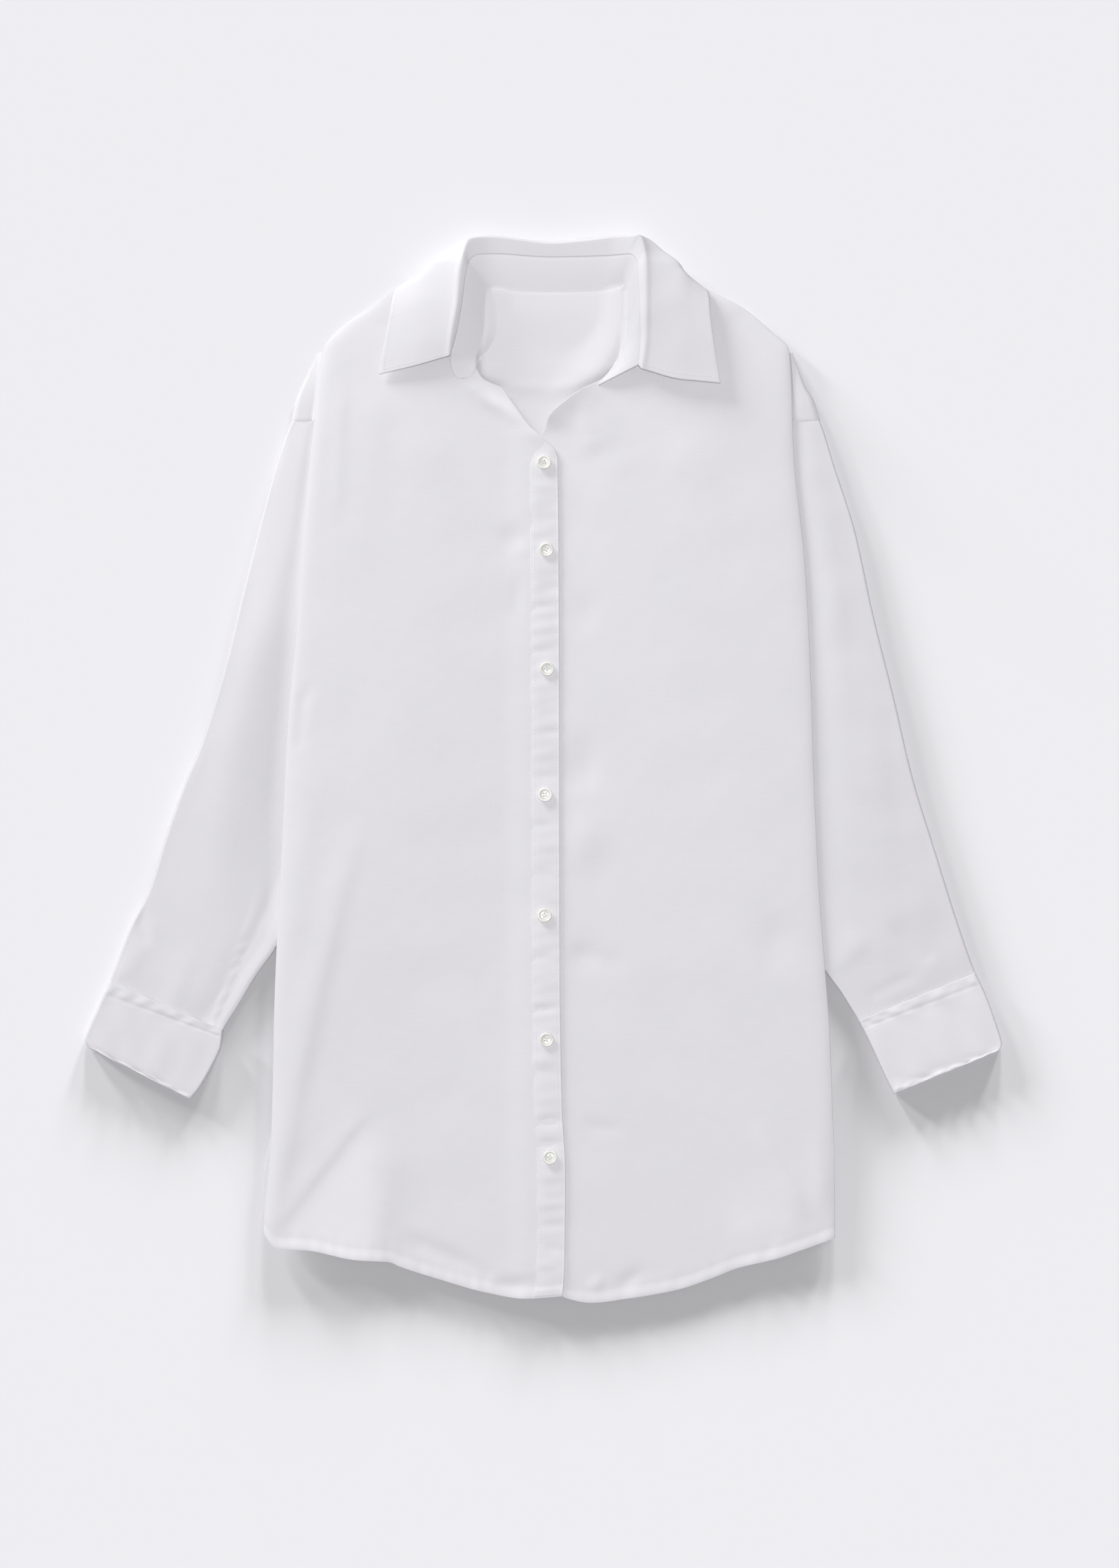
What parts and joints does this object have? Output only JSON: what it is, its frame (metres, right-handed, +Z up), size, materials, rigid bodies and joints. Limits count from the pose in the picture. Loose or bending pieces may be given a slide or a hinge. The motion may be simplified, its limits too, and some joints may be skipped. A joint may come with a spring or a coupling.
{
  "type": "linen shirt",
  "caption": "Long-sleeved button-through shirt in plain white linen, laid flat face up, with a standing collar, dropped shoulders, cuffs and a curved hem.",
  "frame": {"origin": "on the floor that the shirt lies on, under the middle of its bounding box", "axes": "+Y towards the collar, +X to the right as seen from above with the collar away from the viewer, +Z up out of the front"},
  "size_m": [0.7967, 0.9287, 0.0253],
  "materials": {
    "linen": "plain woven white linen, matt, fine slubs",
    "button": "ivory shell-like plastic with a raised rim"
  },
  "bodies": {
    "root": {"back": "linen", "front_left": "linen", "front_right": "linen", "button_band": "linen", "sleeve_left": "linen", "sleeve_right": "linen", "cuff_left": "linen", "cuff_right": "linen", "collar_stand": "linen", "collar_leaf": "linen", "button_1": "button", "button_2": "button", "button_3": "button", "button_4": "button", "button_5": "button", "button_6": "button", "button_7": "button"}
  },
  "joints": []
}
